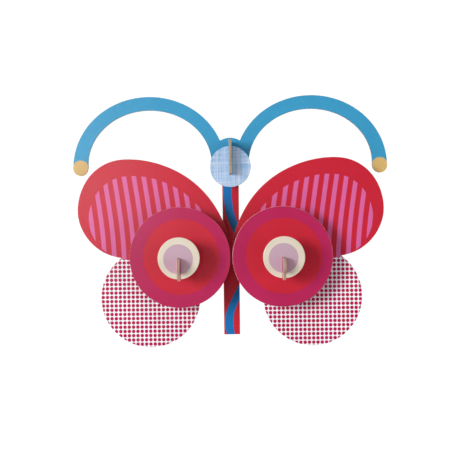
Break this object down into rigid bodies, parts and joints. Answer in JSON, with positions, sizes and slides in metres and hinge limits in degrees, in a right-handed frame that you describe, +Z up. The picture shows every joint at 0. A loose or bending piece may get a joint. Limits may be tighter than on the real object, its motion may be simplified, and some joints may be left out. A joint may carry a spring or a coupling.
{
  "type": "slotted card butterfly wall decoration",
  "caption": "Flat-pack butterfly of printed card boards on slotted ribs: long curled antennae, striped upper and dotted lower wings, stacked eyespot discs; hangs from a nail.",
  "frame": {"origin": "centre of the hang hole on the back face of the body board", "axes": "+Z up, -Y towards the viewer, +X to the viewer's right; the wall is on the +Y side"},
  "size_m": [0.2204, 0.0535, 0.1743],
  "materials": {
    "body_card": "satin printed card, blue antennae and head, red body strip, gold tips",
    "woven_print_card": "satin printed card, pale blue woven pattern",
    "kraft_card": "plain grey-brown board, matt",
    "wing_card": "satin printed card, red with pink stripes, and white with magenta dots",
    "ringed_card": "satin printed card, magenta ring round a red disc",
    "cream_card": "satin printed card, cream ring round a mauve disc",
    "pink_card": "satin printed card, pink",
    "blue_card": "satin printed card, blue"
  },
  "bodies": {
    "root": {"body_board": "body_card", "head_disc": "woven_print_card", "head_rib": "blue_card", "cross_beam": "kraft_card", "spine": "kraft_card", "wing_right": "wing_card", "wing_left": "wing_card", "big_disc_right": "ringed_card", "big_disc_left": "ringed_card", "small_disc_right": "cream_card", "small_disc_left": "cream_card", "disc_rib_right": "pink_card", "disc_rib_left": "pink_card"}
  },
  "joints": []
}
